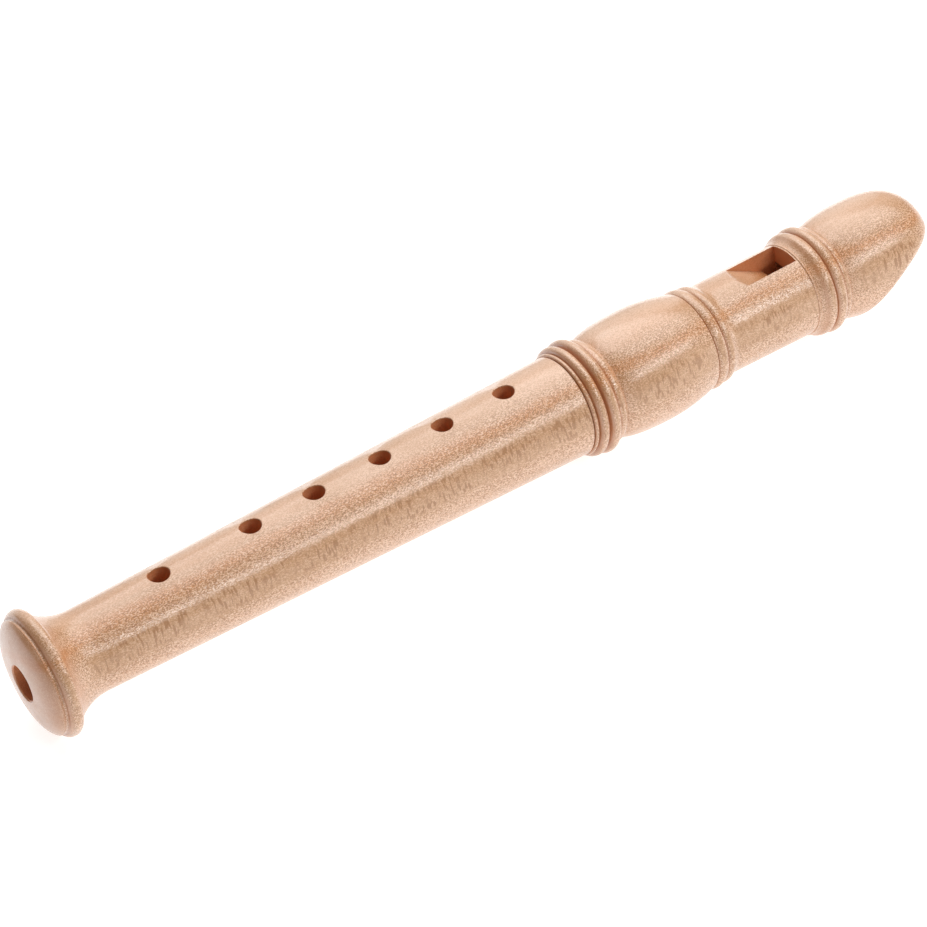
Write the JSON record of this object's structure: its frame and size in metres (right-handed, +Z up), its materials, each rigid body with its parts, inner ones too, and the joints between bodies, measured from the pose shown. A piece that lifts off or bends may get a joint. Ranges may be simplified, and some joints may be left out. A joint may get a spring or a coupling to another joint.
{
  "type": "soprano recorder",
  "caption": "Turned wooden soprano recorder with a beaked head joint, window and labium, cork-lapped tenon, finger holes, thumb hole and flanged foot.",
  "frame": {"origin": "centre of the bounding box, at the height of the surface that the recorder lies on", "axes": "+X along the bore from the foot to the beak, +Z up through the finger holes and the window, +Y to the far side"},
  "size_m": [0.3052, 0.0372, 0.0372],
  "materials": {
    "turned_wood": "satin lacquered pale fruitwood with fine dark flecks along the grain",
    "block_wood": "bare red cedar",
    "cork": "bare cork, lightly greased"
  },
  "bodies": {
    "body": {"body_joint": "turned_wood"},
    "cork": {"tenon_cork": "cork"},
    "head": {"head_joint": "turned_wood", "block": "block_wood"}
  },
  "joints": [
    {"name": "head_turn", "type": "hinge", "parent": "body", "child": "cork", "pos_m": [0.03, 0, 0.0186], "axis": [1, 0, 0], "continuous": true},
    {"name": "head_pull", "type": "slide", "parent": "cork", "child": "head", "axis": [1, 0, 0], "range_m": [0, 0.026]}
  ]
}
